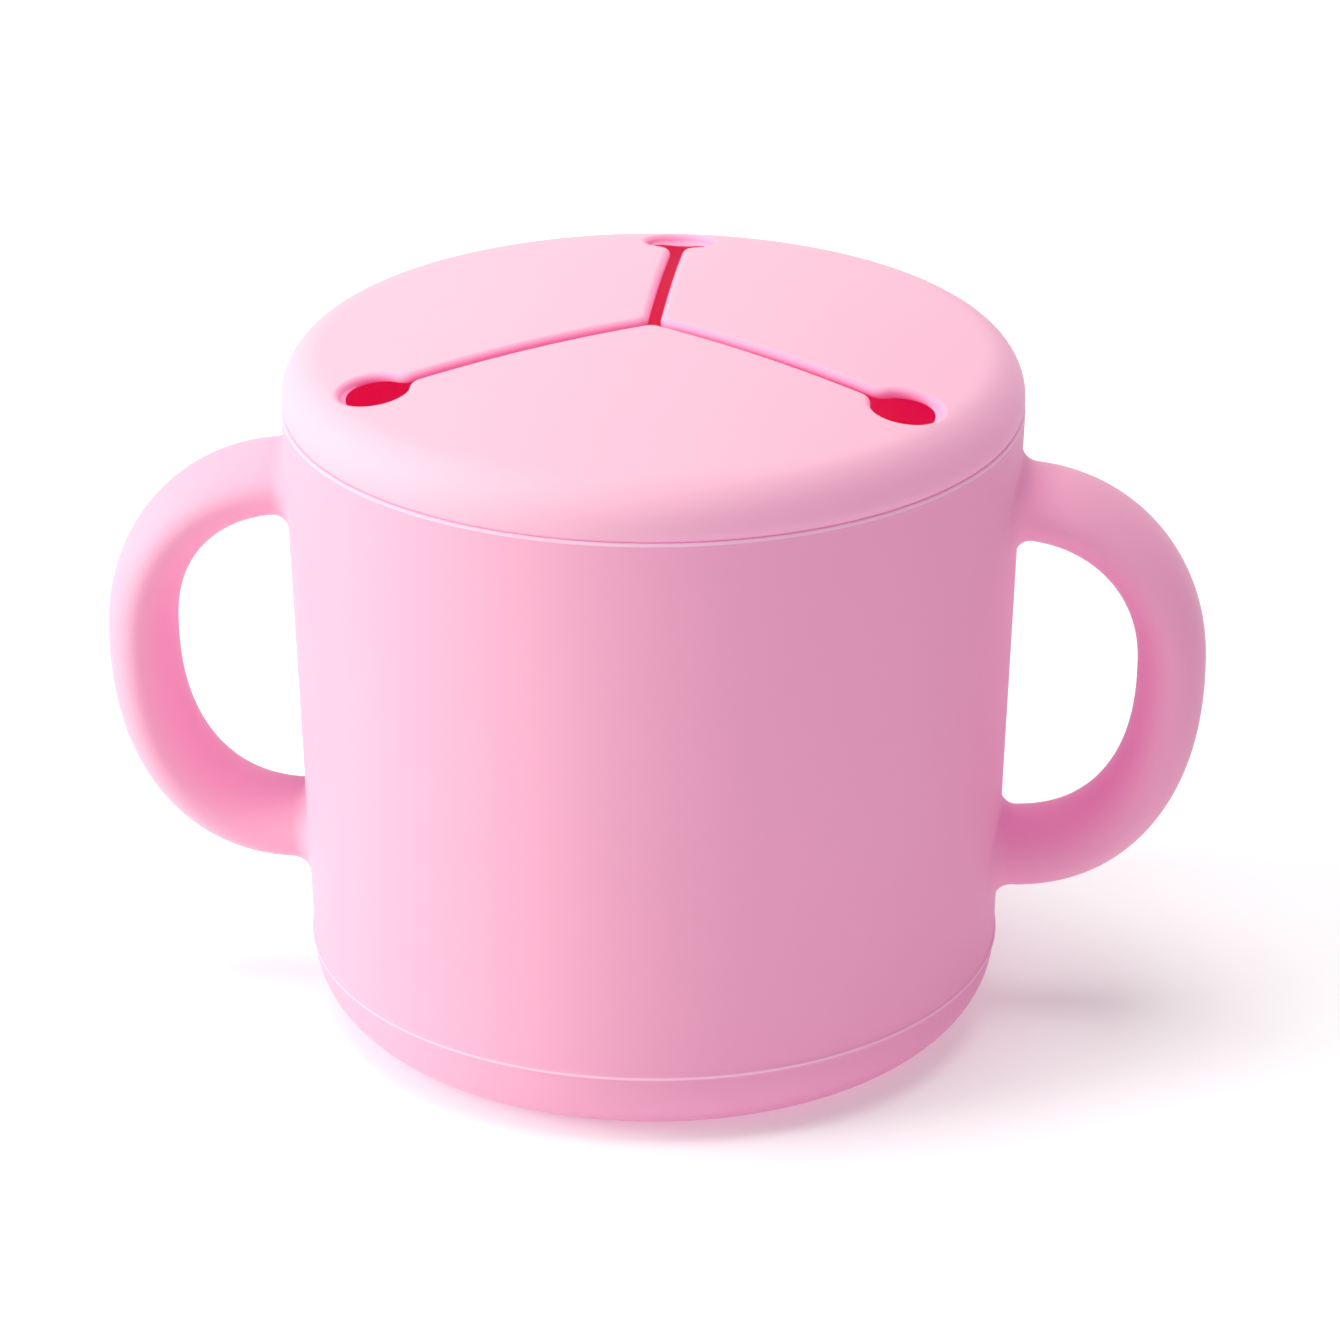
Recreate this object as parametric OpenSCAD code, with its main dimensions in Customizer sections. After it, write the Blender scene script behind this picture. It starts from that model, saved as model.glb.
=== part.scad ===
// Two-handled silicone snack cup for a toddler, with a push-on lid whose domed top is cut
// three ways, so that a small hand can reach in and the snacks don't fall out.
// Millimetres. +Z is up, Z = 0 is the table, the cup's axis is the Z axis and the handles lie on X.

/* [Cup] */
// Outer diameter at the rim, which is the lid's diameter too
cup_d = 86; // [76:0.5:100]
// Height of the rim above the table
cup_h = 76; // [66:0.5:100]
// Thickness of the side wall
cup_wall = 2.4; // [1.8:0.1:3]
// Thickness of the floor, from the table to the inside
cup_floor = 3.4; // [2.6:0.1:6]
// Outer diameter at the mould line above the rounded base
base_d = 81.8; // [70:0.2:85]
// Height of that mould line
base_line_h = 9; // [8.5:0.5:16]
// Radius of the rounded base edge
base_round = 8.5; // [5:0.5:8.5]
// Radius between the inner wall and the floor
floor_round = 6; // [3:0.5:12]
// Diameter of the shallow hollow under the base
foot_hollow_d = 54; // [30:1:56]
// Depth of that hollow
foot_hollow = 0.8; // [0.4:0.1:1.4]
// How far the mould line stands proud of the wall
line_proud = 0.15; // [0.05:0.05:0.3]

/* [Lid] */
// Radius of the domed top
dome_r = 210; // [150:5:400]
// Height of the lid's straight edge above the seam
lid_edge_h = 0.5; // [0.4:0.1:6]
// Radius of the rounded lid edge
lid_round = 5.9; // [4.5:0.1:8]
// Thickness of the domed skin
lid_skin = 1.2; // [1.1:0.1:3]
// Radius under the skin, where it turns down into the plug
lid_under_round = 2; // [1:0.5:3]
// Depth of the plug that goes into the cup
plug_h = 9; // [7.5:0.5:14]
// Thickness of the plug's wall
plug_wall = 1.3; // [0.9:0.1:1.3]
// How far each sealing rib stands proud of the plug
rib_proud = 0.35; // [0.2:0.05:0.6]
// Distance from the seam down to the first sealing rib, and on to the next
rib_pitch = 2.8; // [2:0.1:3.2]

/* [Three-way opening] */
// Width of the slits
slit_w = 1.5; // [0.6:0.1:2]
// Diameter of the round hole that ends each slit
relief_d = 8; // [5:0.1:8]
// Distance from the axis to the centre of each round hole
relief_r = 34.4; // [28:0.1:34.4]
// Radius of the moulded edges along the slits and round the holes
flap_edge = 0.8; // [0.4:0.1:1.2]

/* [Handles] */
// How far a handle stands out from the rim
handle_reach = 21.9; // [16:0.1:30]
// Thickness of the grip, seen from the front
handle_t = 8; // [6:0.1:11]
// Width of the grip, from front to back
handle_w = 14.7; // [10:0.1:20]
// Drop from the rim to the middle of the upper arm
upper_arm_drop = 10.9; // [10:0.1:18]
// Drop from the upper arm to the handle's widest point
handle_bow = 20; // [12:0.5:24]
// Height of the middle of the lower arm above the table
lower_arm_h = 20.7; // [18:0.1:25]
// Fullness of the upper bend: 2 is an ellipse, and more is squarer
upper_full = 2.1; // [1.8:0.1:3]
// Fullness of the lower bend
lower_full = 2.3; // [1.8:0.1:3]
// Radius where a handle runs into the wall
root_round = 2; // [0.5:0.1:4]

/* [Clearances] */
// Gap between the rim and the lid that rests on it
seat_gap = 0.1; // [0:0.05:0.4]
// Radius of the edges on both sides of the seam
seam_round = 0.35; // [0.2:0.05:0.8]
// Radial gap between the sealing ribs and the cup's bore
plug_gap = 0.25; // [0.2:0.05:0.5]
// Gap at the line where a flap bends
hinge_gap = 0.3; // [0.2:0.05:0.5]

/* [Hidden] */
$fn = 144;
DOME_FN = 360;
EPS = 0.01;
silicone = "#f7b3d2";
lid_silicone = "#fac4de";
flap_silicone = "#fbd0e4";

// Cup: the wall is one straight taper, and both rounds of the base are tangent to it
rim_r = cup_d / 2;
taper = atan((rim_r - base_d / 2) / (cup_h - base_line_h));
line_half = 0.3;
mouth_chamfer = 0.6;

// Lid: the edge round is tangent to the straight edge and to the dome
seat_z = cup_h + seat_gap;
edge_cx = rim_r - lid_round;
edge_cz = seat_z + lid_edge_h;
dome_cz = edge_cz - sqrt(pow(dome_r - lid_round, 2) - pow(edge_cx, 2));
plug_low = cup_h - plug_h;
plug_in_r = plug_r(plug_low) - plug_wall;
plug_tip = 0.6;
under_cx = plug_in_r - lid_under_round;
under_cz = dome_cz + sqrt(pow(dome_r - lid_skin - lid_under_round, 2) - pow(under_cx, 2));

// Opening: three slits at 120 degrees, and between their round holes the lines where the flaps bend
FLAP_ANGLES = [270, 30, 150];
SLIT_ANGLES = [90, 210, 330];
SLIT_HALF_ANGLE = 60;
hinge_x = relief_r * cos(SLIT_HALF_ANGLE);
hinge_end = relief_r * sin(SLIT_HALF_ANGLE);
hinge_top_z = skin_mid(hinge_x);
hinge_low_z = skin_mid(norm([hinge_x, hinge_end - relief_d / 2]));
hinge_z = (hinge_top_z + hinge_low_z) / 2;
hinge_spare = 0.1;
hinge_l = 2 * hinge_end - relief_d / 2;
hinge_round = lid_skin / 2 + (hinge_top_z - hinge_low_z) / 2 + hinge_spare;
cut_over = 4;
opening_h = dome_cz + dome_r - seat_z + cut_over;
EDGE_SWEEP = 65;
EDGE_STEP = 13;
SLIT_BEVEL = 35;

// Handles: the grip's centre line is a quarter of a superellipse up from its widest point, and another down
SIDES = 24;
BEND_RINGS = 19;
ROOT_CROWD = 1.35;
root_in = 1;
root_x = rim_r - root_in;
root_lead = 3.2;
bow_x = rim_r + handle_reach - handle_t / 2;
bow_z = cup_h - upper_arm_drop - handle_bow;
SECTION_FULL = 2;

// Points on an arc from angle a0 to a1
function arc(cx, cz, r, a0, a1, n) =
    [for (i = [0:n]) let (a = a0 + (a1 - a0) * i / n) [cx + r * cos(a), cz + r * sin(a)]];

// Outer radius of the cup's wall, radius of its bore and radius of the plug between its ribs, at height z
function wall_r(z) = rim_r - (cup_h - z) * tan(taper);
function bore_r(z) = wall_r(z) - cup_wall;
function plug_r(z) = bore_r(z) - plug_gap - rib_proud;

// Height of the middle of the domed skin at radius r
function skin_mid(r) = dome_cz + sqrt(dome_r * dome_r - r * r) - lid_skin / 2;

// An arc in the corner between the tapered wall and a level floor at height z0; inset is the wall left outside it
function corner_arc(inset, z0, r, a0, a1, n) =
    let (cz = z0 + r, zt = cz - r * sin(taper), cx = wall_r(zt) - inset - r * cos(taper))
    arc(cx, cz, r, a0, a1, n);

module cup_section() {
    hollow_r = foot_hollow_d / 2;
    mouth_r = bore_r(cup_h);
    polygon(concat(
        [[0, foot_hollow], [hollow_r, foot_hollow], [hollow_r + foot_hollow, 0]],
        corner_arc(0, 0, base_round, -90, -taper, 14),
        [[wall_r(base_line_h - line_half), base_line_h - line_half]],
        [[wall_r(base_line_h) + line_proud, base_line_h]],
        [[wall_r(base_line_h + line_half), base_line_h + line_half]],
        arc(rim_r - seam_round, cup_h - seam_round, seam_round, 0, 90, 5),
        [[mouth_r + mouth_chamfer, cup_h], [bore_r(cup_h - mouth_chamfer), cup_h - mouth_chamfer]],
        corner_arc(cup_wall, cup_floor, floor_round, -taper, -90, 10),
        [[0, cup_floor]]
    ));
}

module cup_body() color(silicone) rotate_extrude() cup_section();

// Centre line of a handle in its own plane: u runs from 0 at the upper root over 90 at the
// widest point to 180 at the lower root
function bend(u, full, rise) =
    [root_x + (bow_x - root_x) * pow(sin(u), 2 / full), bow_z + rise * pow(abs(cos(u)), 2 / full)];
function handle_point(u) =
    u <= 90 ? bend(u, upper_full, handle_bow) : bend(u, lower_full, lower_arm_h - bow_z);
upper_us = [for (i = [0:BEND_RINGS]) 90 * pow(i / BEND_RINGS, ROOT_CROWD)];
lower_us = [for (i = [BEND_RINGS - 1:-1:0]) 180 - 90 * pow(i / BEND_RINGS, ROOT_CROWD)];
handle_path = concat(
    [[root_x - root_lead, bow_z + handle_bow]],
    [for (u = concat(upper_us, lower_us)) handle_point(u)],
    [[root_x - root_lead, lower_arm_h]]
);

// How much wider the grip is at distance d from the wall, so that it flows into it
function root_flare(d) =
    let (near = max(0, root_round - max(0, d))) root_round - sqrt(max(0, root_round * root_round - near * near));

// One ring of the grip round point p with unit tangent t: an oval, wider from front to back
function grip_ring(p, t) = [for (i = [0:SIDES - 1])
    let (
        a = 360 * i / SIDES,
        c = sign(cos(a)) * pow(abs(cos(a)), 2 / SECTION_FULL),
        s = sign(sin(a)) * pow(abs(sin(a)), 2 / SECTION_FULL),
        n = [-t[1], t[0]],
        v = [p[0] + n[0] * c * handle_t / 2, s * handle_w / 2, p[1] + n[1] * c * handle_t / 2],
        away = norm([v[0], v[1]]) - wall_r(v[2]),
        e = root_flare(away)
    )
    [v[0] + n[0] * cos(a) * e, v[1] + sin(a) * e, v[2] + n[1] * cos(a) * e]];

// A closed skin over a list of rings, with both ends capped
module skin_rings(rings) {
    count = len(rings[0]);
    last = len(rings) - 1;
    points = [for (ring = rings) for (p = ring) p];
    sides = [for (j = [0:last - 1]) for (i = [0:count - 1]) let (
        a = j * count + i,
        b = j * count + (i + 1) % count,
        c = b + count,
        d = a + count
    ) each [[a, b, c], [a, c, d]]];
    start = [[for (i = [count - 1:-1:0]) i]];
    end = [[for (i = [0:count - 1]) last * count + i]];
    polyhedron(points = points, faces = concat(sides, start, end), convexity = 6);
}

module handle() {
    last = len(handle_path) - 1;
    rings = [for (j = [0:last]) let (
        ahead = handle_path[min(j + 1, last)],
        behind = handle_path[max(j - 1, 0)],
        t = (ahead - behind) / norm(ahead - behind)
    ) grip_ring(handle_path[j], t)];
    difference() {
        skin_rings(rings);
        cylinder(r1 = wall_r(0), r2 = rim_r, h = cup_h);
    }
}

module right_handle() color(silicone) handle();
module left_handle() color(silicone) mirror([1, 0, 0]) handle();

// The lid's domed top and rounded edge in section, down to the seat
module lid_section() {
    edge_a = atan2(edge_cz - dome_cz, edge_cx);
    under_a = atan2(under_cz - dome_cz, under_cx);
    polygon(concat(
        [[plug_in_r, seat_z]],
        arc(rim_r - seam_round, seat_z + seam_round, seam_round, -90, 0, 5),
        arc(edge_cx, edge_cz, lid_round, 0, edge_a, 16),
        [for (i = [1:10]) let (a = edge_a + (90 - edge_a) * i / 10)
            [dome_r * cos(a), dome_cz + dome_r * sin(a)]],
        [for (i = [10:-1:1]) let (a = under_a + (90 - under_a) * i / 10)
            [(dome_r - lid_skin) * cos(a), dome_cz + (dome_r - lid_skin) * sin(a)]],
        arc(under_cx, under_cz, lid_under_round, under_a, 0, 6)
    ));
}

// What one slit takes out: a slot with bevelled edges on both faces of the skin, swept along
// the dome from the axis to the round hole at angle 0
module slit_cut() {
    half = slit_w / 2;
    low_bevel = (lid_skin - flap_edge) / 2;
    low_r = dome_r - lid_skin;
    opens = tan(SLIT_BEVEL);
    side = [
        [low_r - flap_edge, half + (flap_edge + low_bevel) * opens],
        [low_r + low_bevel, half],
        [dome_r - flap_edge, half],
        [dome_r + flap_edge, half + 2 * flap_edge * opens]
    ];
    other_side = [for (i = [len(side) - 1:-1:0]) [side[i][0], -side[i][1]]];
    reach = asin(relief_r / dome_r);
    past = asin(slit_w / dome_r);
    translate([0, 0, dome_cz]) rotate([90, 0, 0]) rotate([0, 0, 90 - reach])
        rotate_extrude(angle = reach + past) polygon(concat(side, other_side));
}

// What one round hole takes out, square to the dome at angle 0, with a rounded upper edge
module relief_cut() {
    r = relief_d / 2;
    low = dome_r - lid_skin - cut_over;
    edge = [for (a = [0:EDGE_STEP:EDGE_SWEEP])
        [r + flap_edge * (1 - cos(a)), dome_r - flap_edge + flap_edge * sin(a)]];
    far = edge[len(edge) - 1] + 2 * flap_edge * [sin(EDGE_SWEEP), cos(EDGE_SWEEP)];
    translate([0, 0, dome_cz]) rotate([0, asin(relief_r / dome_r), 0])
        rotate_extrude() polygon(concat([[0, low], [r, low]], edge, [far, [0, far[1]]]));
}

// The round bar along the line where the flap at angle 0 bends, with both ends inside the round holes
module hinge_bar(r) {
    translate([hinge_x, 0, hinge_z]) rotate([90, 0, 0]) cylinder(r = r, h = hinge_l, center = true);
}

module lid_rim() color(lid_silicone) difference() {
    rotate_extrude() lid_section();
    translate([0, 0, seat_z - EPS]) linear_extrude(opening_h)
        polygon([for (a = SLIT_ANGLES) [relief_r * cos(a), relief_r * sin(a)]]);
    for (a = FLAP_ANGLES) rotate([0, 0, a]) hinge_bar(hinge_round + hinge_gap);
    for (a = SLIT_ANGLES) rotate([0, 0, a]) relief_cut();
}

// The plug under the lid, with two ribs that seal against the cup's bore
module lid_plug() color(lid_silicone) rotate_extrude() polygon(concat(
    [[plug_in_r, seat_z], [plug_in_r, plug_low + plug_tip]],
    [[plug_in_r + plug_tip, plug_low], [plug_r(plug_low) - plug_tip, plug_low]],
    [[plug_r(plug_low + plug_tip), plug_low + plug_tip]],
    [for (k = [2, 1]) let (z = cup_h - k * rib_pitch) each arc(plug_r(z), z, rib_proud, -90, 90, 6)],
    [[plug_r(cup_h), seat_z]]
));

// One flap, with its tip on the axis and its bending line towards angle a
module flap(a) color(flap_silicone) rotate([0, 0, a]) difference() {
    intersection() {
        translate([0, 0, dome_cz]) difference() {
            sphere(r = dome_r, $fn = DOME_FN);
            sphere(r = dome_r - lid_skin, $fn = DOME_FN);
        }
        union() {
            translate([0, 0, seat_z]) linear_extrude(opening_h)
                polygon([[0, 0], [hinge_x, -hinge_end], [hinge_x, hinge_end]]);
            hinge_bar(hinge_round);
        }
    }
    for (s = [-1, 1]) rotate([0, 0, s * SLIT_HALF_ANGLE]) {
        slit_cut();
        relief_cut();
    }
}

module front_flap() flap(FLAP_ANGLES[0]);
module right_flap() flap(FLAP_ANGLES[1]);
module left_flap() flap(FLAP_ANGLES[2]);

cup_body();
left_handle();
right_handle();
lid_rim();
lid_plug();
front_flap();
right_flap();
left_flap();
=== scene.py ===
from math import acos, asin, atan, atan2, cos, degrees, pi, radians, sin, sqrt

import bmesh
import bpy
import numpy as np
from mathutils import Matrix, Vector


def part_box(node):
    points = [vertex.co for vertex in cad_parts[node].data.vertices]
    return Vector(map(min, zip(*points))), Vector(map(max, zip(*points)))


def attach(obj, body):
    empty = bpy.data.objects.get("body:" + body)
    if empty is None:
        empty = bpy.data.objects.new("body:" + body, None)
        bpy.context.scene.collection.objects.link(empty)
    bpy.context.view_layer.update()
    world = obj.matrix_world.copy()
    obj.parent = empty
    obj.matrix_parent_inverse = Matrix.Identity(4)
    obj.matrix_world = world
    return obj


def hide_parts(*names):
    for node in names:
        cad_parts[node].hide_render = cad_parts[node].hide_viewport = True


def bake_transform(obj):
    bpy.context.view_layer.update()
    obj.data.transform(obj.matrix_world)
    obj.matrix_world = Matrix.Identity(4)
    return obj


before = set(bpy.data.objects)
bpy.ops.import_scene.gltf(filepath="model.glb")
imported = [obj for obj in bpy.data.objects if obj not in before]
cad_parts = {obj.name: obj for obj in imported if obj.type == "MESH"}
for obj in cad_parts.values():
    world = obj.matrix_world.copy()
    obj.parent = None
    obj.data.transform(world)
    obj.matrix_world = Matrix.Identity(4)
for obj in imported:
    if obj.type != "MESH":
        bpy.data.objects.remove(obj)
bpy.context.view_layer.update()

# Lengths below are in millimetres and angles in degrees, and each mesh is made in metres at the end
MM = 0.001
WELD = 0.001

# Cup
RIM_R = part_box("cup_body")[1].x / MM
CUP_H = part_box("cup_body")[1].z / MM
CUP_WALL = 2.4
CUP_FLOOR = 3.4
BASE_R = 40.9
LINE_Z = 9.0
LINE_HALF = 0.3
LINE_PROUD = 0.24
BASE_ROUND = 8.5
FLOOR_ROUND = 6.0
FOOT_HOLLOW_R = 27.0
FOOT_HOLLOW = 0.8
RIM_ROUND = 0.35
PAINTED_HIGHLIGHT_RIM_W = 0.6
MOUTH_ROUND = 0.6
TAPER = (RIM_R - BASE_R) / (CUP_H - LINE_Z)
COLUMNS = 288

# Handles
HANDLE_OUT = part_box("right_handle")[1].x / MM
HANDLE_T = 8.0
HANDLE_W = 14.7
SECTION_FULL = 2.0
ROOT_X = RIM_R - 1.0
BOW_X = HANDLE_OUT - HANDLE_T / 2
BOW_Z = 45.1
UPPER_ARM_Z = 65.1
LOWER_ARM_Z = 20.7
UPPER_FULL = 2.1
LOWER_FULL = 2.3
ROOT_ROUND = 2.0
ROOT_LEAD = 4.0
PATCH_COLUMNS = 15
PATCH_ROWS = 14
PATCH_HALF_H = 9.4
HANDLE_SIDES = 4 * PATCH_COLUMNS + 2 * PATCH_ROWS

# Lid
SEAT_GAP = 0.04
SEAT_Z = CUP_H + SEAT_GAP
DOME_R = 219.0
LID_INSET = 0.04
LID_R = RIM_R - LID_INSET
LID_ROUND = 5.3
LID_SKIN = 1.2
EDGE_CX = LID_R - LID_ROUND
LID_SIDE_H = 1.2
EDGE_CZ = SEAT_Z + LID_SIDE_H
DOME_CZ = EDGE_CZ - sqrt((DOME_R - LID_ROUND) ** 2 - EDGE_CX**2)
DOME_ANGLE = asin(EDGE_CX / (DOME_R - LID_ROUND))
DOME_S = DOME_R * DOME_ANGLE
RIM_S = DOME_S + LID_ROUND * (pi / 2 - DOME_ANGLE)
TUCK_ANGLE = 60.0
TUCK_W = 0.65
TUCK_H = LID_SIDE_H / sin(radians(TUCK_ANGLE))
UNDER_ROUND = 2.0
PLUG_H = 9.0
PLUG_WALL = 1.3
PLUG_GAP = 0.6
PLUG_TIP = 0.6
RIB_PROUD = 0.35
RIB_PITCH = 2.8
PLUG_INNER_ROWS = 12

# Three-way opening, laid out flat before it is draped over the dome
SLIT_HALF = 0.75
HOLE_R = 4.0
HOLE_S = DOME_R * asin(34.7 / DOME_R)
HOLE_X = HOLE_S * cos(pi / 3)
HOLE_Y = HOLE_S * sin(pi / 3)
FLAP_EDGE = 0.8
EDGE_LINES = 8
FLAP_BEVEL = 0.15
CORNER_ROUND = 1.9
TIP_ROUND = 1.8
BORDER_X = 19.7
FLAP_TURNS = {"front_flap": 270, "right_flap": 30, "left_flap": 150}
BORDER_STEPS = 40
HOLE_STEPS = 52
LID_COLUMNS = 3 * (BORDER_STEPS + HOLE_STEPS)

# Finishes of the faces, by number. INNER is the inside, whose finish has a painted red glow. EDGE is the edges of
# slits and holes on the lid, deeper pink with a painted glow, and on the cup its mould line and the rim's outer
# edge, paler with a glow: a painted pale highlight.
OUTER, INNER, EDGE = 0, 1, 2


def arc(cx, cz, r, start, end, steps):
    """Points on an arc, from one angle to another."""
    a = np.radians(np.linspace(start, end, steps + 1))
    return np.stack([cx + r * np.cos(a), cz + r * np.sin(a)], 1)


def wall_r(z):
    """The cup's outer radius at a height."""
    return RIM_R - (CUP_H - z) * TAPER


def bore_r(z):
    return wall_r(z) - CUP_WALL


def plug_r(z):
    return bore_r(z) - PLUG_GAP


def corner_arc(inset, floor_z, r, start, end, steps):
    """The round between the tapered wall and a level floor."""
    slope = atan(TAPER)
    cz = floor_z + r
    cx = wall_r(cz - r * sin(slope)) - inset - r * cos(slope)
    return arc(cx, cz, r, start, end, steps)


def mesh_object(name, points, faces, finish=None, draped=None):
    """A piece from points in millimetres, with the number of each face's finish."""
    mesh = bpy.data.meshes.new(name)
    mesh.from_pydata([tuple(p) for p in np.asarray(points) * MM], [], [tuple(f) for f in faces])
    if finish is not None:
        mesh.attributes.new("finish", "INT", "FACE").data.foreach_set("value", finish)
    if draped is not None:
        mesh.attributes.new("draped", "BOOLEAN", "POINT").data.foreach_set("value", draped)
    piece = bpy.data.objects.new(name, mesh)
    bpy.context.scene.collection.objects.link(piece)
    return piece


def close_up(piece):
    """Welds a piece, turns its faces outwards and shades it smooth up to its real edges."""
    shell = bmesh.new()
    shell.from_mesh(piece.data)
    bmesh.ops.remove_doubles(shell, verts=shell.verts, dist=WELD * MM)
    bmesh.ops.recalc_face_normals(shell, faces=shell.faces)
    shell.to_mesh(piece.data)
    shell.free()
    piece.data.shade_smooth()
    piece.data.set_sharp_from_angle(angle=radians(50))


def loop_quads(rings, count, first=0, closed=False):
    """Quads between rings of the same count of points, each ring joined in a circle."""
    quads = []
    for j in range(rings if closed else rings - 1):
        low = first + j * count
        high = first + ((j + 1) % rings) * count
        for i in range(count):
            k = (i + 1) % count
            quads.append((low + i, low + k, high + k, high + i))
    return quads


# Cup


def root_rows(middle):
    """Heights of the wall's rows round one root of a handle."""
    return np.linspace(middle - PATCH_HALF_H, middle + PATCH_HALF_H, PATCH_ROWS + 1)


def cup_profile():
    """The cup's section from the middle of its underside round to the middle of its floor."""
    bead_z = np.linspace(-LINE_HALF, LINE_HALF, 9)
    bead = LINE_PROUD * np.cos(bead_z / LINE_HALF * pi / 2) ** 2
    lower, upper = root_rows(LOWER_ARM_Z), root_rows(UPPER_ARM_Z)
    between = np.linspace(lower[-1], upper[0], 14)[1:-1]
    wall_z = np.concatenate([lower, between, upper, [74.8, 75.4]])
    top = CUP_H - MOUTH_ROUND
    return [
        [[0, FOOT_HOLLOW], [9, FOOT_HOLLOW], [18, FOOT_HOLLOW], [FOOT_HOLLOW_R - 0.4, FOOT_HOLLOW]],
        [[FOOT_HOLLOW_R, FOOT_HOLLOW - 0.1], [FOOT_HOLLOW_R + 0.35, 0.35]],
        [[FOOT_HOLLOW_R + 0.7, 0.1], [FOOT_HOLLOW_R + 1.1, 0]],
        corner_arc(0, 0, BASE_ROUND, -90, -degrees(atan(TAPER)), 20),
        np.stack([wall_r(LINE_Z + bead_z) + bead, LINE_Z + bead_z], 1),
        [[wall_r(10.0), 10.0]],
        np.stack([wall_r(wall_z), wall_z], 1),
        arc(RIM_R - RIM_ROUND, CUP_H - RIM_ROUND, RIM_ROUND, 0, 90, 5),
        [[RIM_R - 0.9, CUP_H], [bore_r(top) + MOUTH_ROUND + 0.2, CUP_H]],
        arc(bore_r(top) + MOUTH_ROUND, top, MOUTH_ROUND, 90, 180, 5)[1:],
        [[bore_r(z), z] for z in np.linspace(top - 3, 14, 10)],
        corner_arc(CUP_WALL, CUP_FLOOR, FLOOR_ROUND, -degrees(atan(TAPER)), -90, 14),
        [[24, CUP_FLOOR], [14, CUP_FLOOR], [6, CUP_FLOOR], [0, CUP_FLOOR]],
    ]


def grip_path():
    """The centre line of a handle, read by length: straight out of the wall, down round the bow and back."""
    u = np.radians(np.linspace(0, 90, 3000))
    reach, drop = BOW_X - ROOT_X, BOW_Z - LOWER_ARM_Z
    upper_x = ROOT_X + reach * np.sin(u) ** (2 / UPPER_FULL)
    upper_z = BOW_Z + (UPPER_ARM_Z - BOW_Z) * np.abs(np.cos(u)) ** (2 / UPPER_FULL)
    lower_x = ROOT_X + reach * np.sin(u) ** (2 / LOWER_FULL)
    lower_z = BOW_Z - drop * np.abs(np.cos(u)) ** (2 / LOWER_FULL)
    x = np.concatenate([[ROOT_X - ROOT_LEAD], upper_x, lower_x[-2::-1], [ROOT_X - ROOT_LEAD]])
    z = np.concatenate([[UPPER_ARM_Z], upper_z, lower_z[-2::-1], [LOWER_ARM_Z]])
    length = np.concatenate([[0], np.cumsum(np.hypot(np.diff(x), np.diff(z)))])
    even = np.linspace(0, length[-1], 1200)
    x, z = np.interp(even, length, x), np.interp(even, length, z)
    tx, tz = np.gradient(x, even), np.gradient(z, even)
    size = np.hypot(tx, tz)
    return even, x, z, tx / size, tz / size


GRIP = grip_path()
SIDE_ANGLES = np.radians(np.arange(HANDLE_SIDES) * 360 / HANDLE_SIDES)


def grip_ring(length, flare):
    """One ring of the grip, with each side at its own length along the centre line."""
    even, x, z, tx, tz = GRIP
    px, pz = np.interp(length, even, x), np.interp(length, even, z)
    nx, nz = -np.interp(length, even, tz), np.interp(length, even, tx)
    c, s = np.cos(SIDE_ANGLES), np.sin(SIDE_ANGLES)
    across = np.sign(c) * np.abs(c) ** (2 / SECTION_FULL) * HANDLE_T / 2 + c * flare
    sideways = np.sign(s) * np.abs(s) ** (2 / SECTION_FULL) * HANDLE_W / 2 + s * flare
    return np.stack([px + nx * across, sideways, pz + nz * across], 1)


def wall_length(upper, away, flare):
    """Where each side of the grip is at one distance from the wall."""
    total = GRIP[0][-1]
    near = np.full(HANDLE_SIDES, 0.0 if upper else total)
    far = np.full(HANDLE_SIDES, total / 2)
    for _ in range(50):
        middle = (near + far) / 2
        ring = grip_ring(middle, flare)
        inside = np.hypot(ring[:, 0], ring[:, 1]) - wall_r(ring[:, 2]) < away
        near = np.where(inside, middle, near)
        far = np.where(inside, far, middle)
    return (near + far) / 2


def root_fillet(upper, steps=9):
    """Rings of the hollow round between wall and grip, from the wall outwards."""
    rings = []
    for a in np.radians(np.linspace(90, 0, steps + 1)):
        away, flare = ROOT_ROUND * (1 - sin(a)), ROOT_ROUND * (1 - cos(a))
        rings.append(grip_ring(wall_length(upper, away, flare), flare))
    return rings


def patch_frame(outer_z, inner_z):
    """The wall's own points round a root, as angle and height, in the order of the grip's sides."""
    step = 2 * pi / COLUMNS
    rows = np.linspace(outer_z, inner_z, PATCH_ROWS + 1)
    n = PATCH_COLUMNS
    return np.array(
        [(i * step, outer_z) for i in range(n)]
        + [(n * step, z) for z in rows[:-1]]
        + [(i * step, inner_z) for i in range(n, -n, -1)]
        + [(-n * step, z) for z in rows[:0:-1]]
        + [(i * step, outer_z) for i in range(-n, 0)]
    )


def root_patch(contour, outer_z, inner_z, steps=7):
    """Rings on the wall from its own grid in to where a root's hollow round lands."""
    grid = patch_frame(outer_z, inner_z)
    landing = np.stack([np.arctan2(contour[:, 1], contour[:, 0]), contour[:, 2]], 1)
    rings = []
    for t in np.linspace(0, 1, steps + 1):
        flat = grid + (landing - grid) * t
        r = wall_r(flat[:, 1])
        rings.append(np.stack([r * np.cos(flat[:, 0]), r * np.sin(flat[:, 0]), flat[:, 1]], 1))
    return rings


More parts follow.
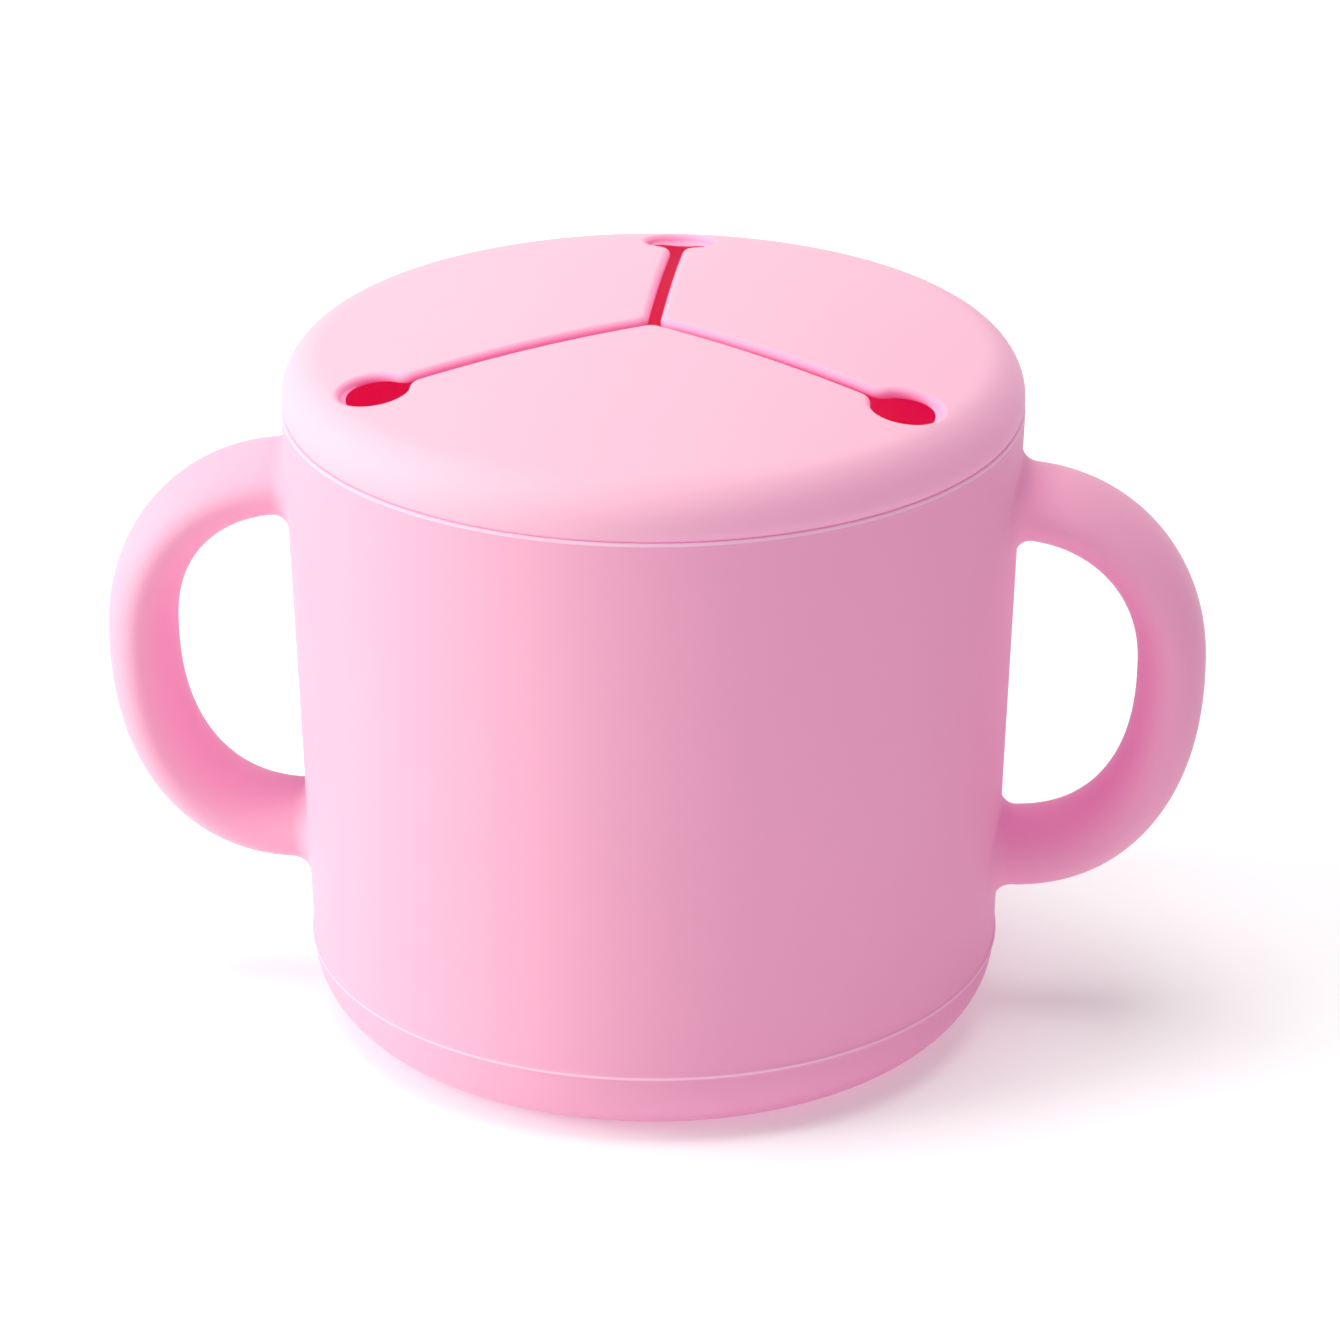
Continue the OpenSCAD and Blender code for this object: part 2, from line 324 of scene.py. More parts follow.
def handle_rings(grip_steps=74):
    """The right handle from the wall's grid over both roots and the grip back to the grid."""
    upper, lower = root_fillet(True), root_fillet(False)
    start, end = wall_length(True, ROOT_ROUND, 0), wall_length(False, ROOT_ROUND, 0)
    grip = [grip_ring(start + (end - start) * t, 0) for t in np.linspace(0, 1, grip_steps + 1)[1:-1]]
    top, bottom = root_rows(UPPER_ARM_Z), root_rows(LOWER_ARM_Z)
    upper_patch = root_patch(upper[0], top[-1], top[0])
    lower_patch = root_patch(lower[0], bottom[0], bottom[-1])
    return upper_patch[:-1] + upper + grip + lower[::-1] + lower_patch[-2::-1]


def build_cup():
    """The cup with both handles, as one moulding."""
    profile = np.concatenate([np.array(part, float) for part in cup_profile()])
    count = len(profile)
    angles = np.arange(COLUMNS) * 2 * pi / COLUMNS
    rings = [np.stack([r * np.cos(angles), r * np.sin(angles), np.full(COLUMNS, z)], 1) for r, z in profile[1:-1]]
    points = list(np.concatenate(rings))
    roots = [(root_rows(m)[0] - 0.01, root_rows(m)[-1] + 0.01) for m in (LOWER_ARM_Z, UPPER_ARM_Z)]
    outside = np.argmax(profile[:, 1])
    faces, finish = [], []
    for j in range(count - 3):
        z0, z1 = profile[j + 1][1], profile[j + 2][1]
        cut = j < outside and any(low <= z0 and z1 <= high for low, high in roots)
        # The mould line and the rim's outer edge take the EDGE finish: a paler colour with a glow, a painted pale
        # highlight along them.
        on_line = j < outside and abs((z0 + z1) / 2 - LINE_Z) < LINE_HALF / 2
        on_rim = min(z0, z1) > CUP_H - RIM_ROUND - 0.001 and profile[j + 2][0] > RIM_R - PAINTED_HIGHLIGHT_RIM_W
        row_finish = EDGE if on_line or on_rim else INNER if j > outside + 4 else OUTER
        for i in range(COLUMNS):
            from_side = min(i % (COLUMNS // 2), COLUMNS // 2 - 1 - i % (COLUMNS // 2))
            if cut and from_side < PATCH_COLUMNS:
                continue
            k = (i + 1) % COLUMNS
            faces.append((j * COLUMNS + i, j * COLUMNS + k, (j + 1) * COLUMNS + k, (j + 1) * COLUMNS + i))
            finish.append(row_finish)
    last = (count - 3) * COLUMNS
    for ring, centre in ((0, profile[0]), (last, profile[-1])):
        points.append(np.array([0, 0, centre[1]]))
        faces += [(len(points) - 1, ring + i, ring + (i + 1) % COLUMNS) for i in range(COLUMNS)]
        finish += [INNER if ring else OUTER] * COLUMNS
    rings = handle_rings()
    for mirrored in (1, -1):
        first = len(points)
        points += list(np.concatenate(rings) * [mirrored, 1, 1])
        quads = loop_quads(len(rings), HANDLE_SIDES, first)
        faces += quads
        finish += [OUTER] * len(quads)
    return mesh_object("snack_cup", points, faces, finish)


# Lid and flaps, flat


def border_y(offset):
    """Where the line between lid and flap ends on the hole's edge."""
    return HOLE_Y - sqrt((HOLE_R + offset) ** 2 - (BORDER_X - HOLE_X) ** 2)


def border_angle(offset):
    return -degrees(acos((BORDER_X - HOLE_X) / (HOLE_R + offset)))


def border_line(offset):
    y = border_y(offset) * np.linspace(-1, 1, BORDER_STEPS + 1)
    return np.stack([np.full(BORDER_STEPS + 1, BORDER_X), y], 1)


def turned(points, angle):
    a = radians(angle)
    return points @ np.array([[cos(a), sin(a)], [-sin(a), cos(a)]])


def flap_outline(offset):
    """One flap's outline at a distance inside its edge, with its bend towards +X and its tip at the middle."""
    along = np.array([cos(pi / 3), sin(pi / 3)])
    into = np.array([sin(pi / 3), -cos(pi / 3)])
    corner_s = HOLE_S - sqrt((HOLE_R + CORNER_ROUND) ** 2 - (SLIT_HALF + CORNER_ROUND) ** 2)
    corner = corner_s * along + (SLIT_HALF + CORNER_ROUND) * into
    tip_x = (SLIT_HALF + TIP_ROUND) / sin(pi / 3)
    corner_dir = degrees(atan2(corner[1] - HOLE_Y, corner[0] - HOLE_X))
    slit_from, slit_to = corner_s, tip_x * cos(pi / 3)
    slit = [s * along + (SLIT_HALF + offset) * into for s in np.linspace(slit_from, slit_to, 29)[1:-1]]
    side = np.concatenate(
        [
            arc(HOLE_X, HOLE_Y, HOLE_R + offset, border_angle(offset), corner_dir, 16),
            arc(corner[0], corner[1], CORNER_ROUND - offset, corner_dir + 180, 150, 10)[1:],
            slit,
            arc(tip_x, 0, TIP_ROUND - offset, 150, 180, 5),
        ]
    )
    back = (side * [1, -1])[-2:0:-1]
    return np.concatenate([border_line(offset)[:-1], side, back])


def lid_outline(offset):
    """The edge of the lid's skin round the flaps: three border lines and the far sides of three holes."""
    far_side = arc(HOLE_X, HOLE_Y, HOLE_R + offset, border_angle(offset), 120 - border_angle(offset), HOLE_STEPS)
    sector = np.concatenate([border_line(offset)[:-1], far_side[:-1]])
    return np.concatenate([turned(sector, a) for a in (30, 150, 270)])


def edge_steps():
    """Offset and depth of each line of the rounded edge, from the top face down."""
    a = np.radians(np.linspace(0, 90, EDGE_LINES))
    return [(FLAP_EDGE * (1 - sin(t)), FLAP_EDGE * (1 - cos(t))) for t in a]


def flat_ring(outline, depth):
    return np.column_stack([outline, -np.broadcast_to(depth, len(outline))])


def build_flap(name):
    """A flap, flat, from the pole of its top face over its edge to the pole of its underside."""
    centre = np.array([12.0, 0.0])
    shrink = [0.06, 0.14, 0.22, 0.3, 0.38, 0.46, 0.54, 0.62, 0.7, 0.78, 0.86, 0.93, 0.975]
    top, low = flap_outline(FLAP_EDGE), flap_outline(FLAP_BEVEL)
    rings = [flat_ring(centre + (top - centre) * t, 0) for t in shrink]
    rings += [flat_ring(flap_outline(o), d) for o, d in edge_steps()]
    under_from = len(rings)
    # The lower part of the flap's rounded edge takes the EDGE finish: a deeper pink, painted shade, with a painted
    # glow.
    edge_from = under_from - 3 * EDGE_LINES // 4
    rings += [flat_ring(flap_outline(0), LID_SKIN - FLAP_BEVEL), flat_ring(low, LID_SKIN)]
    rings += [flat_ring(centre + (low - centre) * t, LID_SKIN) for t in shrink[::-1]]
    count = len(top)
    points = list(np.concatenate(rings)) + [np.array([*centre, 0]), np.array([*centre, -LID_SKIN])]
    faces = loop_quads(len(rings), count)
    rows = np.arange(len(faces)) // count
    finish = list(np.where(rows >= under_from, INNER, np.where(rows >= edge_from, EDGE, OUTER)))
    last = (len(rings) - 1) * count
    for ring, pole in ((0, len(points) - 2), (last, len(points) - 1)):
        faces += [(pole, ring + i, ring + (i + 1) % count) for i in range(count)]
        finish += [INNER if ring else OUTER] * count
    return mesh_object(name, points, faces, finish, [True] * len(points))


PLUG_LOW = CUP_H - PLUG_H
PLUG_IN_R = plug_r(PLUG_LOW) - PLUG_WALL
UNDER_CX = PLUG_IN_R - UNDER_ROUND
UNDER_CZ = DOME_CZ + sqrt((DOME_R - LID_SKIN - UNDER_ROUND) ** 2 - UNDER_CX**2)
UNDER_ANGLE = asin(UNDER_CX / (DOME_R - LID_SKIN - UNDER_ROUND))


def under_depth(s):
    """Depth of the skin's underside, square to the dome, at a length from the middle of the top."""
    a = np.minimum(s / DOME_R, DOME_ANGLE)
    px, pz = DOME_R * np.sin(a) - UNDER_CX, DOME_CZ + DOME_R * np.cos(a) - UNDER_CZ
    nx, nz = np.sin(a), np.cos(a)
    b = px * nx + pz * nz
    root = np.sqrt(np.maximum(b * b - (px * px + pz * pz - UNDER_ROUND**2), 0))
    return np.where(a > UNDER_ANGLE, b - root, LID_SKIN)


def under_z(r):
    """Height of the underside at a radius, over to where it turns down into the plug."""
    dome = DOME_CZ + np.sqrt((DOME_R - LID_SKIN) ** 2 - r**2)
    turn = UNDER_CZ + np.sqrt(np.maximum(UNDER_ROUND**2 - (r - UNDER_CX) ** 2, 0))
    return np.where(r > (DOME_R - LID_SKIN) * sin(UNDER_ANGLE), turn, dome)


def lid_lower_profile():
    """The lid's section below its widest line: the tucked side, the seat and the plug."""
    side = [LID_R - TUCK_W, EDGE_CZ] + arc(0, 0, 1, 0, -TUCK_ANGLE, 8)[1:] * [TUCK_W, TUCK_H]
    ends = [plug_r(CUP_H) + 1.2, plug_r(CUP_H) + 0.3]
    return np.concatenate(
        [
            side,
            [[r, SEAT_Z] for r in ends],
            [[plug_r(CUP_H) + 0.08, SEAT_Z - 0.08], [plug_r(CUP_H - 0.4), CUP_H - 0.4]],
            [[plug_r(z), z] for z in np.linspace(CUP_H - 2, PLUG_LOW + PLUG_TIP, 4)],
            arc(plug_r(PLUG_LOW) - PLUG_TIP, PLUG_LOW + PLUG_TIP, PLUG_TIP, 0, -90, 5)[1:],
            arc(PLUG_IN_R + PLUG_TIP, PLUG_LOW + PLUG_TIP, PLUG_TIP, -90, -180, 5),
            [[PLUG_IN_R, z] for z in np.linspace(PLUG_LOW + 2, UNDER_CZ, 6)],
        ]
    )


def within_plug(outline):
    """The lower edge of the holes' outer halves is drawn in to an oval, so that it stays inside the plug's wall."""
    s = np.hypot(outline[:, 0], outline[:, 1])
    squash = (PLUG_IN_R - 0.1 - HOLE_S) / (HOLE_R + FLAP_BEVEL)
    return outline * ((s - np.maximum(s - HOLE_S, 0) * (1 - squash)) / s)[:, None]


def build_lid():
    """The lid without its flaps: skin, rounded edge, seat and plug in one closed skin."""
    outline = lid_outline(FLAP_EDGE)
    angles = np.radians(30 + (np.arange(LID_COLUMNS) - BORDER_STEPS / 2) * 360 / LID_COLUMNS)
    spokes = np.stack([np.cos(angles), np.sin(angles)], 1)
    outer_s = HOLE_S + HOLE_R + FLAP_EDGE + 0.9
    steps = [0, 0.012] + [1 - (1 - k / 12) ** 2 for k in range(1, 13)]
    rings = [flat_ring(outline + (spokes * outer_s - outline) * t, 0) for t in steps]
    rings += [flat_ring(spokes * s, 0) for s in np.linspace(outer_s, RIM_S, 15)[1:]]
    outer_rings = len(rings)
    rings += [np.column_stack([spokes * r, np.full(LID_COLUMNS, z)]) for r, z in lid_lower_profile()]
    inner_from = len(rings) - PLUG_INNER_ROWS
    low = within_plug(lid_outline(FLAP_BEVEL))
    s = np.hypot(low[:, 0], low[:, 1])
    a, depth = s / DOME_R, under_depth(s)
    start_r = (DOME_R - depth) * np.sin(a)
    start = low / s[:, None] * start_r[:, None]
    for t in [1 - (k / 12) ** 2 for k in range(1, 12)] + [0.012]:
        flat = start + (spokes * PLUG_IN_R - start) * t
        rings.append(np.column_stack([flat, under_z(np.hypot(flat[:, 0], flat[:, 1]))]))
    draped_from = len(rings)
    wall = within_plug(lid_outline(0))
    wall_depth = under_depth(np.hypot(wall[:, 0], wall[:, 1])) - FLAP_BEVEL
    rings += [flat_ring(low, depth), flat_ring(wall, wall_depth)]
    rings += [flat_ring(lid_outline(o), d) for o, d in edge_steps()[:0:-1]]
    edge_to = len(rings) - EDGE_LINES // 4
    draped = [j < outer_rings or j >= draped_from for j in range(len(rings))]
    faces = loop_quads(len(rings), LID_COLUMNS, closed=True)
    rows = np.arange(len(faces)) // LID_COLUMNS
    # The walls of the lid's holes and borders take the EDGE finish: a deeper pink, painted shade, with a painted
    # glow.
    walls = np.where((rows > draped_from) & (rows < edge_to), EDGE, OUTER)
    finish = np.where((rows >= inner_from) & (rows <= draped_from), INNER, walls)
    return mesh_object("lid", np.concatenate(rings), faces, finish, np.repeat(draped, LID_COLUMNS))


# Geometry Nodes


def new_tree(name, inputs):
    """An empty tree with a geometry socket each way and named inputs for its sizes."""
    tree = bpy.data.node_groups.new(name, "GeometryNodeTree")
    tree.interface.new_socket("Geometry", in_out="INPUT", socket_type="NodeSocketGeometry")
    for label, kind in inputs:
        tree.interface.new_socket(label, in_out="INPUT", socket_type=kind)
    tree.interface.new_socket("Geometry", in_out="OUTPUT", socket_type="NodeSocketGeometry")
    return tree, tree.nodes.new("NodeGroupInput"), tree.nodes.new("NodeGroupOutput")


def node(tree, kind, settings=None, **inputs):
    """A node with its settings, and its inputs linked to sockets or set to values."""
    made = tree.nodes.new(kind)
    for key, value in (settings or {}).items():
        setattr(made, key, value)
    for key, value in inputs.items():
        socket = made.inputs[int(key[1:])] if key[1:].isdigit() else made.inputs[key.replace("_", " ")]
        if isinstance(value, bpy.types.NodeSocket):
            tree.links.new(value, socket)
        else:
            socket.default_value = value
    return made


def maths(tree, operation, *values):
    """A Math node's result."""
    made = node(tree, "ShaderNodeMath", {"operation": operation}, **{f"i{i}": v for i, v in enumerate(values)})
    return made.outputs[0]


FINISHES = ("Finish", "Inner finish", "Edge finish")


def set_finish(tree, geometry, source):
    """Realizes a tree's result and gives each face the finish that it is marked for."""
    dressed = node(tree, "GeometryNodeRealizeInstances", Geometry=geometry).outputs[0]
    marked = node(tree, "GeometryNodeInputNamedAttribute", {"data_type": "INT"}, Name="finish").outputs["Attribute"]
    for number, name in enumerate(FINISHES):
        chosen = node(tree, "FunctionNodeCompare", {"data_type": "INT", "operation": "EQUAL"}, i2=marked, i3=number)
        dressed = node(
            tree,
            "GeometryNodeSetMaterial",
            Geometry=dressed,
            Selection=chosen.outputs[0],
            Material=source.outputs[name],
        ).outputs[0]
    return dressed


def drape_tree():
    """Lays a flat skin over the dome and its rounded edge, and turns it to its place round the lid."""
    names = ["Dome radius", "Dome centre height", "Edge round", "Edge start", "Turn"]
    inputs = [(name, "NodeSocketFloat") for name in names]
    inputs += [(name, "NodeSocketMaterial") for name in FINISHES]
    tree, source, result = new_tree("drape over dome", inputs)
    dome, centre, edge, start, turn = (source.outputs[name] for name in names)
    place = node(tree, "ShaderNodeSeparateXYZ", i0=node(tree, "GeometryNodeInputPosition").outputs[0])
    x, y, z = place.outputs
    squared = maths(tree, "ADD", maths(tree, "MULTIPLY", x, x), maths(tree, "MULTIPLY", y, y))
    s = maths(tree, "MAXIMUM", maths(tree, "SQRT", squared), 1e-7)
    top_angle = maths(tree, "DIVIDE", maths(tree, "MINIMUM", s, start), dome)
    past = maths(tree, "DIVIDE", maths(tree, "MAXIMUM", maths(tree, "SUBTRACT", s, start), 0.0), edge)
    angle = maths(tree, "ADD", top_angle, past)

    def from_axis(ratio, straight):
        bent = maths(tree, "SUBTRACT", maths(tree, ratio, angle), maths(tree, ratio, top_angle))
        on_top = maths(tree, "MULTIPLY", dome, maths(tree, ratio, top_angle))
        surface = maths(tree, "MULTIPLY_ADD", edge, bent, on_top)
        return maths(tree, "ADD", maths(tree, "MULTIPLY_ADD", z, maths(tree, ratio, angle), surface), straight)

    share = maths(tree, "DIVIDE", from_axis("SINE", 0.0), s)
    height = from_axis("COSINE", centre)
    over_x, over_y = (maths(tree, "MULTIPLY", axis, share) for axis in (x, y))
    draped = node(tree, "ShaderNodeCombineXYZ", X=over_x, Y=over_y, Z=height)
    marked = node(tree, "GeometryNodeInputNamedAttribute", {"data_type": "BOOLEAN"}, Name="draped")
    moved = node(
        tree,
        "GeometryNodeSetPosition",
        Geometry=source.outputs["Geometry"],
        Selection=marked.outputs["Attribute"],
        Position=draped.outputs[0],
    )
    around = node(tree, "ShaderNodeCombineXYZ", Z=turn)
    placed = node(tree, "GeometryNodeTransform", Geometry=moved.outputs[0], Rotation=around.outputs[0])
    finished = set_finish(tree, placed.outputs[0], source)
    tree.links.new(finished, result.inputs[0])
    return tree


def ribs_tree():
    """Repeats one sealing rib down the plug, a little narrower each time as the bore tapers."""
    names = ["First height", "Pitch", "Radius", "Narrowing", "Proud"]
    inputs = [(name, "NodeSocketFloat") for name in names]
    inputs += [("Count", "NodeSocketInt")] + [(name, "NodeSocketMaterial") for name in FINISHES]
    tree, source, result = new_tree("sealing ribs", inputs)
    first, pitch, radius, narrowing, proud = (source.outputs[name] for name in names)
    ring = node(tree, "GeometryNodeCurvePrimitiveCircle", Resolution=180, Radius=radius)
    section = node(tree, "GeometryNodeCurvePrimitiveCircle", Resolution=16, Radius=proud)
    rib = node(tree, "GeometryNodeCurveToMesh", Curve=ring.outputs[0], Profile_Curve=section.outputs[0])
    start = node(tree, "ShaderNodeCombineXYZ", Z=first)
    step = node(tree, "ShaderNodeCombineXYZ", Z=maths(tree, "MULTIPLY", pitch, -1.0))
    row = node(
        tree,
        "GeometryNodeMeshLine",
        Count=source.outputs["Count"],
        Start_Location=start.outputs[0],
        Offset=step.outputs[0],
    )
    index = node(tree, "GeometryNodeInputIndex")
    width = maths(tree, "SUBTRACT", 1.0, maths(tree, "MULTIPLY", index.outputs[0], narrowing))
    scale = node(tree, "ShaderNodeCombineXYZ", X=width, Y=width, Z=1.0)
    copies = node(
        tree,
        "GeometryNodeInstanceOnPoints",
        Points=row.outputs[0],
        Instance=rib.outputs[0],
        Scale=scale.outputs[0],
    )
    finished = set_finish(tree, copies.outputs[0], source)
    tree.links.new(finished, result.inputs[0])
    return tree


def run_tree(piece, tree, values):
    """Makes a piece's mesh the result of a tree, with the tree's inputs set by their identifiers."""
    modifier = piece.modifiers.new(tree.name, "NODES")
    modifier.node_group = tree
    for item in tree.interface.items_tree:
        if item.in_out == "INPUT" and item.name in values:
            modifier[item.identifier] = values[item.name]
    graph = bpy.context.evaluated_depsgraph_get()
    made = bpy.data.meshes.new_from_object(piece.evaluated_get(graph), depsgraph=graph)
    piece.modifiers.remove(modifier)
    made.name = piece.name
    piece.data = made
    close_up(piece)
    return piece


# Materials


def silicone(name, colour, deep_colour, roughness, painted_glow=(0, 0, 0), painted_glow_strength=0.0):
    """Matte moulded silicone: a fine spark-eroded skin, faint mottling, a few specks of dust, and an emission that
    is a painted glow, standing in for light that passes through the translucent silicone.
    """
    material = bpy.data.materials.new(name)
    material.use_nodes = True
    tree = material.node_tree
    tree.nodes.clear()
    place = node(tree, "ShaderNodeTexCoord").outputs["Object"]
    cloud = node(tree, "ShaderNodeTexNoise", Vector=place, Scale=45.0, Detail=3.0, Roughness=0.55).outputs[0]
    grain = node(tree, "ShaderNodeTexNoise", Vector=place, Scale=2600.0, Detail=2.0, Roughness=0.6).outputs[0]
    dust = node(tree, "ShaderNodeTexVoronoi", {"feature": "F1"}, Vector=place, Scale=230.0)
    chance = node(tree, "ShaderNodeSeparateColor", Color=dust.outputs["Color"])
    near = maths(tree, "LESS_THAN", dust.outputs["Distance"], 0.055)
    speck = maths(tree, "MULTIPLY", near, maths(tree, "GREATER_THAN", chance.outputs[0], 0.985))
    mottled = node(tree, "ShaderNodeMix", {"data_type": "RGBA"})
    tree.links.new(cloud, mottled.inputs["Factor"])
    mottled.inputs[6].default_value = (*colour, 1)
    mottled.inputs[7].default_value = (*deep_colour, 1)
    dusted = node(tree, "ShaderNodeMix", {"data_type": "RGBA"})
    tree.links.new(maths(tree, "MULTIPLY", speck, 0.35), dusted.inputs["Factor"])
    tree.links.new(mottled.outputs[2], dusted.inputs[6])
    dusted.inputs[7].default_value = (1.0, 0.93, 0.95, 1)
    rough = maths(tree, "MULTIPLY_ADD", grain, 0.10, roughness - 0.05)
    bump = node(tree, "ShaderNodeBump", Strength=0.22, Distance=0.00004, Height=grain)
    skin = node(
        tree,
        "ShaderNodeBsdfPrincipled",
        Base_Color=dusted.outputs[2],
        Roughness=rough,
        Normal=bump.outputs[0],
        IOR=1.42,
        Specular_IOR_Level=0.2,
        Sheen_Weight=0.21,
        Sheen_Roughness=0.42,
        Emission_Color=(*painted_glow, 1),
        Emission_Strength=painted_glow_strength,
    )
    out = node(tree, "ShaderNodeOutputMaterial", Surface=skin.outputs[0])
    out.is_active_output = True
    return material


# Every finish below has a painted glow from its emission, standing in for light that passes through the translucent
# silicone.
CUP_PINK = silicone("cup silicone", (0.69, 0.415, 0.44), (0.675, 0.40, 0.425), 0.62, (1, 0, 0.65), 0.215)
# The lid's colour is paler than the cup's: a painted highlight, standing in for the stronger light on its upward
# faces.
LID_PAINTED_HIGHLIGHT = silicone("lid silicone with painted highlight", (0.68, 0.485, 0.455), (0.665, 0.47, 0.44), 0.62, (1, 0, 0.69), 0.26)
# The inside's red comes from a painted red glow, standing in for light that reaches the hollow through the silicone
# walls.
INNER_PAINTED_GLOW = silicone("inner silicone with painted glow", (0.78, 0.47, 0.61), (0.765, 0.455, 0.595), 0.62, (1, 0.0, 0.08), 0.21)
# The lid's slit and hole edges: a deeper pink, painted shade, with a strong painted glow for light through the thin
# silicone.
EDGE_PAINTED_GLOW = silicone("lid edge silicone with painted glow", (0.79, 0.42, 0.54), (0.775, 0.40, 0.52), 0.62, (1, 0.07, 0.42), 0.33)
# The mould line and rim edge: paler, with a glow, a painted pale highlight.
LINE_PAINTED_HIGHLIGHT = silicone("moulded line silicone with painted highlight", (0.72, 0.49, 0.55), (0.705, 0.475, 0.535), 0.62, (1, 0.4, 0.78), 0.23)


# The pieces

cup = build_cup()
close_up(cup)
for finish in (CUP_PINK, INNER_PAINTED_GLOW, LINE_PAINTED_HIGHLIGHT):
    cup.data.materials.append(finish)
cup_finish = np.zeros(len(cup.data.polygons), np.int32)
cup.data.attributes["finish"].data.foreach_get("value", cup_finish)
cup.data.polygons.foreach_set("material_index", cup_finish)
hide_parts("cup_body", "left_handle", "right_handle")
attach(cup, "cup")

lid_finishes = dict(zip(FINISHES, (LID_PAINTED_HIGHLIGHT, INNER_PAINTED_GLOW, EDGE_PAINTED_GLOW)))
drape = drape_tree()
drape_sizes = {
    "Dome radius": DOME_R * MM,
    "Dome centre height": DOME_CZ * MM,
    "Edge round": LID_ROUND * MM,
    "Edge start": DOME_S * MM,
    "Turn": 0.0,
    **lid_finishes,
}
lid = run_tree(build_lid(), drape, drape_sizes)
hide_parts("lid_rim", "lid_plug")
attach(lid, "lid")

rib_z = CUP_H - RIB_PITCH
rib_sizes = {
    "First height": rib_z * MM,
    "Pitch": RIB_PITCH * MM,
    "Radius": plug_r(rib_z) * MM,
    "Narrowing": TAPER * RIB_PITCH / plug_r(rib_z),
    "Proud": RIB_PROUD * MM,
    "Count": 2,
    **lid_finishes,
}
ribs = run_tree(mesh_object("sealing_ribs", [], []), ribs_tree(), rib_sizes)
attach(ribs, "lid")

for name, turn in FLAP_TURNS.items():
    flap = run_tree(build_flap(name + "_skin"), drape, {**drape_sizes, "Turn": radians(turn)})
    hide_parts(name)
    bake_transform(flap)


# Floor, light and camera

scene = bpy.context.scene
scene.view_settings.view_transform = "Standard"


def white_for_camera(tree, shaded, strength):
    """Shows plain white to the camera, while the light comes from the other shader."""
    path = node(tree, "ShaderNodeLightPath")
    seen = maths(tree, "MAXIMUM", path.outputs["Is Camera Ray"], path.outputs["Is Transmission Ray"])
    white = node(tree, "ShaderNodeBackground", Color=(1, 1, 1, 1), Strength=strength)
    return node(tree, "ShaderNodeMixShader", i0=seen, i1=shaded, i2=white.outputs[0]).outputs[0]


world = bpy.data.worlds.new("white studio")
world.use_nodes = True
world.node_tree.nodes.clear()
room = node(world.node_tree, "ShaderNodeBackground", Color=(1, 1, 1, 1), Strength=0.14)
backdrop = white_for_camera(world.node_tree, room.outputs[0], 1.0)
node(world.node_tree, "ShaderNodeOutputWorld", Surface=backdrop)
scene.world = world


# The extra light that the white studio's floor throws back up, and the light that the camera sees added to
# it: little near the cup, where the shadow lies, and full white further out. Distances are in metres.
FLOOR_BOUNCE = 0.2
SHADOW_LIFT = 0.28
SHADOW_FROM, SHADOW_TO = 0.25, 0.8


def white_floor():
    """A wide white table top that keeps the soft shadow round the cup and fades to plain white beyond it."""
    bpy.ops.mesh.primitive_plane_add(size=12.0, location=(0, 0, -0.0001))
    floor = bpy.context.object
    floor.name = "floor"
    material = bpy.data.materials.new("white floor")
    material.use_nodes = True
    tree = material.node_tree
    tree.nodes.clear()
    path = node(tree, "ShaderNodeLightPath")
    matte = node(tree, "ShaderNodeBsdfDiffuse", Color=(0.8, 0.8, 0.8, 1))
    place = node(tree, "ShaderNodeTexCoord").outputs["Object"]
    away = node(tree, "ShaderNodeVectorMath", {"operation": "LENGTH"}, i0=place).outputs["Value"]
    fade = node(
        tree,
        "ShaderNodeMapRange",
        {"interpolation_type": "SMOOTHSTEP"},
        Value=away,
        From_Min=SHADOW_FROM,
        From_Max=SHADOW_TO,
        To_Min=SHADOW_LIFT,
        To_Max=1.0,
    )
    seen = path.outputs["Is Camera Ray"]
    strength = node(tree, "ShaderNodeMix", Factor=seen, A=FLOOR_BOUNCE, B=fade.outputs[0]).outputs[0]
    lift = node(tree, "ShaderNodeEmission", Color=(1, 1, 1, 1), Strength=strength)
    both = node(tree, "ShaderNodeAddShader", i0=matte.outputs[0], i1=lift.outputs[0])
    node(tree, "ShaderNodeOutputMaterial", Surface=both.outputs[0])
    floor.data.materials.append(material)


